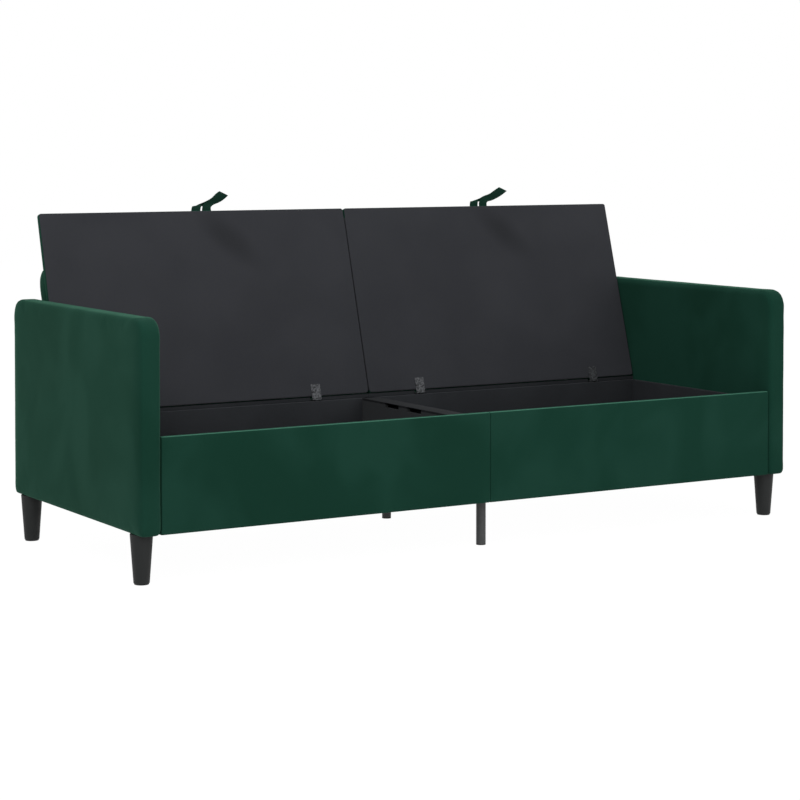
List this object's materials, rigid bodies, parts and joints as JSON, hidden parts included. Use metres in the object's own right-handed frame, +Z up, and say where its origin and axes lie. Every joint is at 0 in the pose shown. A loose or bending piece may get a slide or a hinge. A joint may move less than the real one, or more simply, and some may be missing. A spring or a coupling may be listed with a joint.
{
  "type": "storage sofa bed",
  "caption": "Upholstered storage sofa bed with padded arms, a sloping back, a front rail and hinged seat boards shown open over storage compartments.",
  "frame": {"origin": "on the floor, under the middle of the arms", "axes": "+Z up, the front rail faces -Y, +X is the sitter's left"},
  "size_m": [2.124, 0.8895, 0.9871],
  "materials": {
    "velvet": "dark green short-pile velvet",
    "lining": "charcoal non-woven lining",
    "dark_board": "board faced with charcoal lining",
    "plywood": "raw plywood and softwood",
    "zinc_steel": "zinc plated",
    "grey_steel": "satin grey paint",
    "black_plastic": "moulded, lightly textured",
    "felt": "pressed felt"
  },
  "bodies": {
    "frame": {"left_arm_board": "plywood", "right_arm_board": "plywood", "left_arm_cover": "velvet", "right_arm_cover": "velvet", "left_side_board": "dark_board", "right_side_board": "dark_board", "front_rail_board_left": "plywood", "front_rail_board_right": "plywood", "front_rail_cover_left": "velvet", "front_rail_cover_right": "velvet", "front_inner_board_left": "dark_board", "front_inner_board_right": "dark_board", "front_ledge_left": "dark_board", "front_ledge_right": "dark_board", "rear_rail_left": "dark_board", "rear_rail_right": "dark_board", "rear_skirt": "velvet", "divider_web_left": "dark_board", "divider_web_right": "dark_board", "divider_cap": "dark_board", "divider_blocks": "plywood", "centre_bearer": "plywood", "side_bearers": "plywood", "floor_panel_left": "dark_board", "floor_panel_right": "dark_board", "back_panel": "plywood", "back_posts": "plywood", "back_top_rail": "plywood", "back_cover": "velvet", "post_bolts": "zinc_steel", "arm_bolts": "zinc_steel", "angle_brackets": "zinc_steel", "bracket_screws": "zinc_steel", "leg_front_left": "black_plastic", "leg_front_right": "black_plastic", "leg_rear_left": "black_plastic", "leg_rear_right": "black_plastic", "leg_bolts": "zinc_steel", "leg_glides": "felt", "centre_leg_front": "grey_steel", "centre_leg_rear": "grey_steel", "centre_leg_feet": "black_plastic", "centre_leg_screws": "zinc_steel", "lower_hinge_leaves": "zinc_steel", "hinge_pins": "zinc_steel", "lower_hinge_screws": "zinc_steel", "rest_pads": "felt"},
    "left_seat": {"left_lid_board": "plywood", "left_lid_cover": "velvet", "left_lid_lining": "lining", "left_hinge_leaves": "zinc_steel", "left_hinge_screws": "zinc_steel", "left_ribbon": "velvet"},
    "right_seat": {"right_lid_board": "plywood", "right_lid_cover": "velvet", "right_lid_lining": "lining", "right_hinge_leaves": "zinc_steel", "right_hinge_screws": "zinc_steel", "right_ribbon": "velvet"}
  },
  "joints": [
    {"name": "left_seat_hinge", "type": "hinge", "parent": "frame", "child": "left_seat", "pos_m": [0, 0.235, 0.3623], "axis": [1, 0, 0], "range_deg": [0, 105.9]},
    {"name": "right_seat_hinge", "type": "hinge", "parent": "frame", "child": "right_seat", "pos_m": [0, 0.235, 0.3623], "axis": [1, 0, 0], "range_deg": [0, 105.9]}
  ]
}
